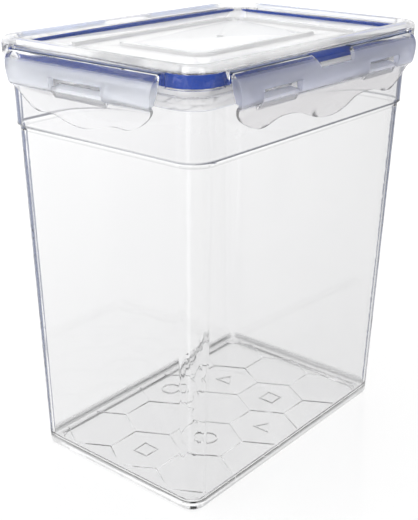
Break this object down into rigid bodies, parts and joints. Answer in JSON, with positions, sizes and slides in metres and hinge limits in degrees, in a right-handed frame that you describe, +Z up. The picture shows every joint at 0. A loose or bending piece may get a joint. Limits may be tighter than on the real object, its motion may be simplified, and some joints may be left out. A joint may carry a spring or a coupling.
{
  "type": "clip-lid food canister",
  "caption": "Tall clear rectangular food canister with a lift-off lid, a seal ring and locking flaps on living hinges along each side.",
  "frame": {"origin": "middle of the underside, on the surface it stands on", "axes": "+X along the long side, -Y is the front, +Z up"},
  "size_m": [0.218, 0.153, 0.239],
  "materials": {
    "clear_body": "clear hard plastic, polished",
    "clear_lid": "clear hard plastic, polished",
    "blue_seal": "smooth blue silicone",
    "milky_flap": "milky translucent plastic",
    "hinge_plastic": "thin translucent plastic"
  },
  "bodies": {
    "tub": {"container": "clear_body"},
    "lid": {"lid": "clear_lid", "seal_ring": "blue_seal", "front_hinge_1": "hinge_plastic", "front_hinge_2": "hinge_plastic", "back_hinge_1": "hinge_plastic", "back_hinge_2": "hinge_plastic", "left_hinge_1": "hinge_plastic", "right_hinge_1": "hinge_plastic"},
    "front_flap": {"front_flap": "milky_flap", "front_catch_1": "milky_flap", "front_catch_2": "milky_flap"},
    "back_flap": {"back_flap": "milky_flap", "back_catch_1": "milky_flap", "back_catch_2": "milky_flap"},
    "left_flap": {"left_flap": "milky_flap", "left_catch_1": "milky_flap"},
    "right_flap": {"right_flap": "milky_flap", "right_catch_1": "milky_flap"}
  },
  "joints": [
    {"name": "lid_lift", "type": "slide", "parent": "tub", "child": "lid", "axis": [0, 0, 1], "range_m": [0, 0.08], "deforming": ["front_catch_1", "front_catch_2", "back_catch_1", "back_catch_2", "left_catch_1", "right_catch_1"]},
    {"name": "front_flap_hinge", "type": "hinge", "parent": "lid", "child": "front_flap", "pos_m": [0, -0.0721, 0.2347], "axis": [-1, 0, 0], "range_deg": [0, 140]},
    {"name": "back_flap_hinge", "type": "hinge", "parent": "lid", "child": "back_flap", "pos_m": [0, 0.0721, 0.2347], "axis": [1, 0, 0], "range_deg": [0, 140]},
    {"name": "left_flap_hinge", "type": "hinge", "parent": "lid", "child": "left_flap", "pos_m": [-0.1046, 0, 0.2347], "axis": [0, 1, 0], "range_deg": [0, 140]},
    {"name": "right_flap_hinge", "type": "hinge", "parent": "lid", "child": "right_flap", "pos_m": [0.1046, 0, 0.2347], "axis": [0, -1, 0], "range_deg": [0, 140]}
  ]
}
